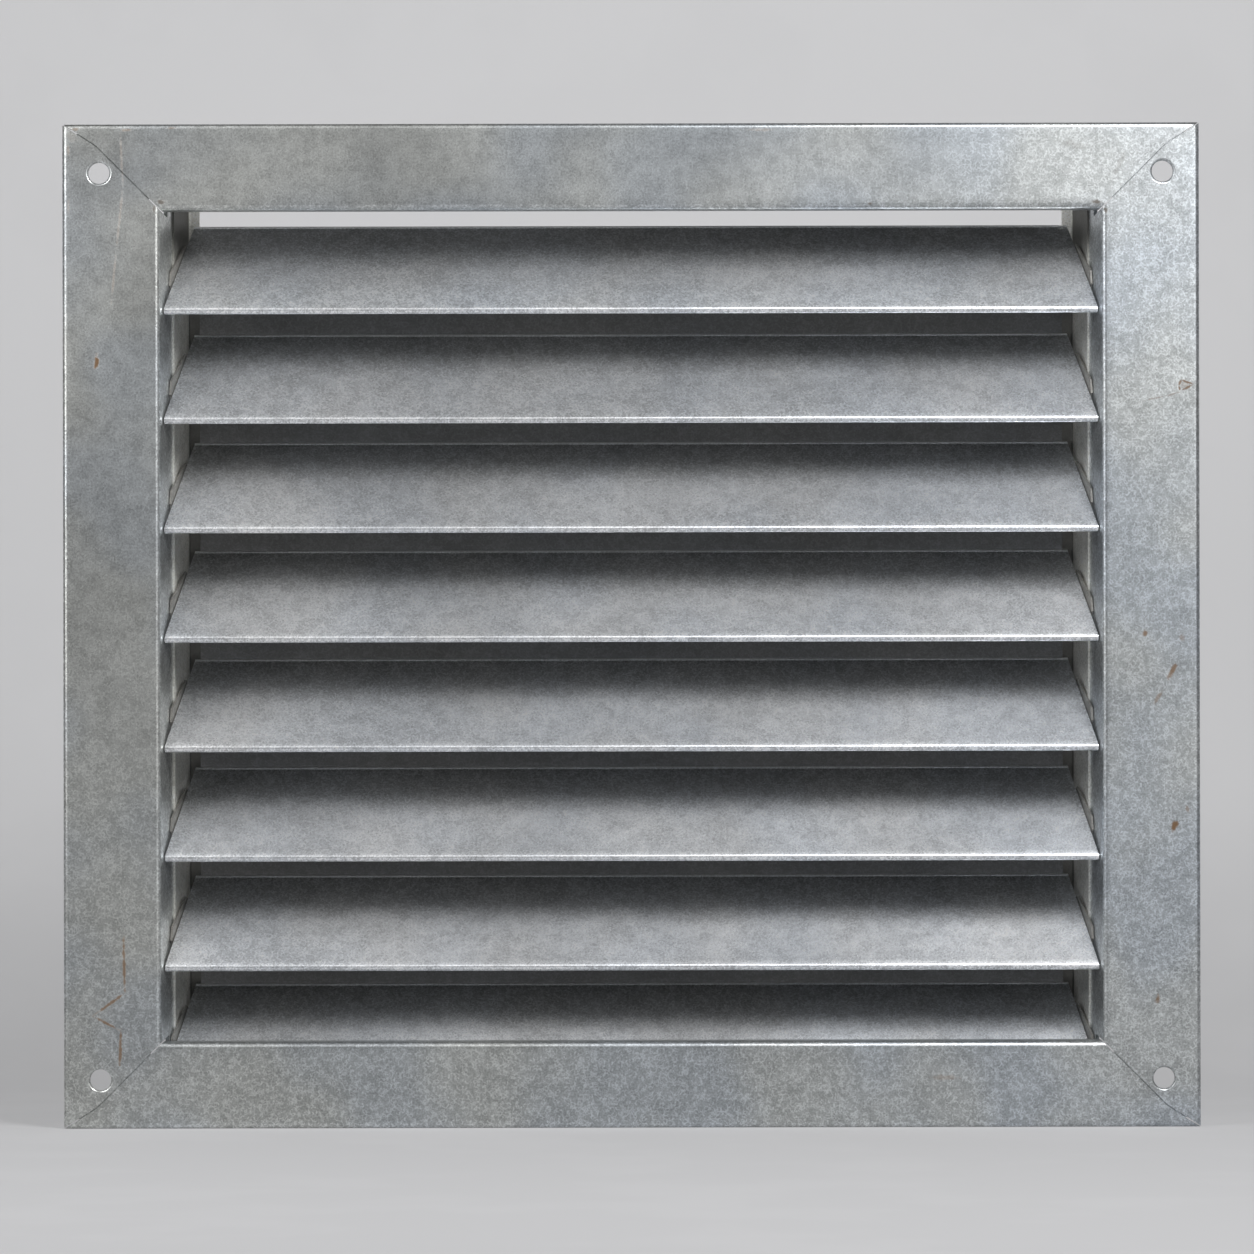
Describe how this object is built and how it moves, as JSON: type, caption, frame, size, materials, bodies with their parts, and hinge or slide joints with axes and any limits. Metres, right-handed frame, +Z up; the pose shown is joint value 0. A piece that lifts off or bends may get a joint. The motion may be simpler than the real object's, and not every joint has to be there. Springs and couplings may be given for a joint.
{
  "type": "return air grille",
  "caption": "Galvanised sheet steel return air grille: mitred flange frame with screw holes and sight-proof inverted-V blades fixed between side strips",
  "frame": {"origin": "middle of the four screw holes, on the back face of the flange", "axes": "X across the grille to the right seen from the front, Y back into the duct, Z up"},
  "size_m": [0.3, 0.0413, 0.265],
  "materials": {
    "frame_steel": "galvanised, fine spangle, weathered",
    "carrier_steel": "galvanised, dull",
    "blade_steel": "galvanised, fine spangle"
  },
  "bodies": {
    "root": {"frame_top": "frame_steel", "frame_bottom": "frame_steel", "frame_left": "frame_steel", "frame_right": "frame_steel", "corner_plate_1": "frame_steel", "corner_plate_2": "frame_steel", "corner_plate_3": "frame_steel", "corner_plate_4": "frame_steel", "carrier_left": "carrier_steel", "carrier_right": "carrier_steel", "blade_1": "blade_steel", "blade_2": "blade_steel", "blade_3": "blade_steel", "blade_4": "blade_steel", "blade_5": "blade_steel", "blade_6": "blade_steel", "blade_7": "blade_steel", "blade_8": "blade_steel", "clip_left_1": "carrier_steel", "clip_left_2": "carrier_steel", "clip_left_3": "carrier_steel", "clip_left_4": "carrier_steel", "clip_left_5": "carrier_steel", "clip_left_6": "carrier_steel", "clip_left_7": "carrier_steel", "clip_left_8": "carrier_steel", "clip_right_1": "carrier_steel", "clip_right_2": "carrier_steel", "clip_right_3": "carrier_steel", "clip_right_4": "carrier_steel", "clip_right_5": "carrier_steel", "clip_right_6": "carrier_steel", "clip_right_7": "carrier_steel", "clip_right_8": "carrier_steel"}
  },
  "joints": []
}
